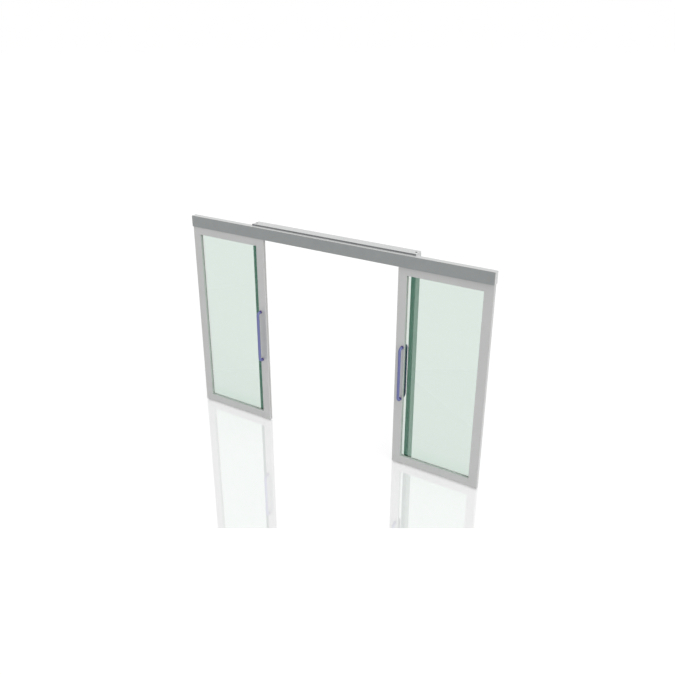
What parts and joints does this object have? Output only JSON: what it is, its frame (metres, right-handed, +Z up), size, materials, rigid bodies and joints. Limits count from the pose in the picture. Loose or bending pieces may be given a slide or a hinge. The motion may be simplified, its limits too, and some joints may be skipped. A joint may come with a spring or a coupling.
{
  "type": "double sliding glass door",
  "caption": "Surface-hung pair of framed glass sliding leaves on a header track, with blue pull handles, in front of a metal lining frame.",
  "frame": {"origin": "centre of the lining head's flat top face, where the lintel holds it", "axes": "+X to the right seen from the front, +Y through the wall away from the front, +Z up"},
  "size_m": [3.412, 0.2135, 2.239],
  "materials": {
    "leaf_aluminium": "satin anodised, light grey",
    "frame_aluminium": "satin anodised, pale grey",
    "header_paint": "satin mid grey",
    "dark_strip": "matt dark grey",
    "green_glass": "clear with a green tint",
    "dark_rubber": "matt",
    "grey_seal": "matt light grey",
    "black_plastic": "matt moulded",
    "zinc_steel": "zinc plated",
    "blue_powder_coat": "satin blue violet powder coat"
  },
  "bodies": {
    "frame": {"header_cover": "header_paint", "header_beam": "frame_aluminium", "lining_head": "frame_aluminium", "head_seal": "dark_strip", "left_header_end_cap": "frame_aluminium", "left_track": "frame_aluminium", "left_track_stops": "black_plastic", "left_head_end_cap": "frame_aluminium", "left_jamb": "frame_aluminium", "left_jamb_foot": "zinc_steel", "left_jamb_seal": "dark_strip", "left_floor_guide": "zinc_steel", "right_header_end_cap": "frame_aluminium", "right_track": "frame_aluminium", "right_track_stops": "black_plastic", "right_head_end_cap": "frame_aluminium", "right_jamb": "frame_aluminium", "right_jamb_foot": "zinc_steel", "right_jamb_seal": "dark_strip", "right_floor_guide": "zinc_steel"},
    "left_leaf": {"left_closing_stile": "leaf_aluminium", "left_rear_stile": "leaf_aluminium", "left_top_rail": "leaf_aluminium", "left_bottom_rail": "leaf_aluminium", "left_glass": "green_glass", "left_glazing_gasket": "dark_rubber", "left_closing_seal": "grey_seal", "left_guide_shoes": "black_plastic", "left_front_handle": "blue_powder_coat", "left_back_handle": "blue_powder_coat", "left_trolleys": "zinc_steel"},
    "right_leaf": {"right_closing_stile": "leaf_aluminium", "right_rear_stile": "leaf_aluminium", "right_top_rail": "leaf_aluminium", "right_bottom_rail": "leaf_aluminium", "right_glass": "green_glass", "right_glazing_gasket": "dark_rubber", "right_closing_seal": "grey_seal", "right_guide_shoes": "black_plastic", "right_front_handle": "blue_powder_coat", "right_back_handle": "blue_powder_coat", "right_trolleys": "zinc_steel"}
  },
  "joints": [
    {"name": "left_leaf_slide", "type": "slide", "parent": "frame", "child": "left_leaf", "axis": [1, 0, 0], "range_m": [0, 0.764]},
    {"name": "right_leaf_slide", "type": "slide", "parent": "frame", "child": "right_leaf", "axis": [-1, 0, 0], "range_m": [0, 0.764]}
  ]
}
